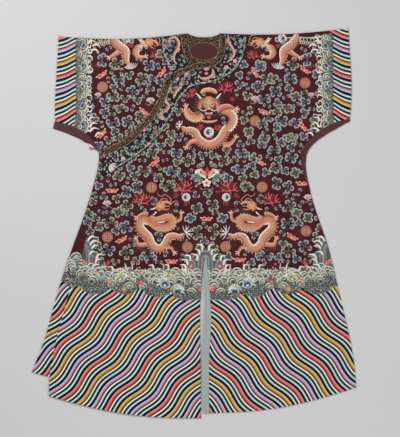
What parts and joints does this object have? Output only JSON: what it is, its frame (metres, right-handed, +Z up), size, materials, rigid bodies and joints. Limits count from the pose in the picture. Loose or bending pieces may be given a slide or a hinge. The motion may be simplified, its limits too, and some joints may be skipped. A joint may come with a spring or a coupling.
{
  "type": "embroidered silk robe",
  "caption": "Short-sleeved embroidered silk court robe laid flat, its front overlap closed under the right arm with a knob.",
  "frame": {"origin": "middle of the footprint, on the surface the robe lies on", "axes": "+Z up off the surface, +Y from the hem towards the neck, +X towards the wearer's left sleeve"},
  "size_m": [1.183, 1.4218, 0.0097],
  "materials": {
    "silk": "satin",
    "plain_silk": "satin",
    "black_band": "satin",
    "brocade": "woven metallic",
    "aqua_silk": "satin",
    "lining": "satin",
    "brass": "polished",
    "cord": "braided"
  },
  "bodies": {
    "root": {"left_body_and_sleeve": "silk", "right_body_sleeve_and_inner_flap": "silk", "front_overlap": "silk", "left_underarm_strip": "plain_silk", "right_underarm_strip": "plain_silk", "collar_band": "black_band", "collar_binding": "brocade", "under_collar_band": "black_band", "under_collar_binding": "brocade", "slit_facing": "aqua_silk", "neck_lining": "lining", "neck_facing": "brocade", "toggle_knob": "brass", "toggle_cord": "cord"}
  },
  "joints": []
}
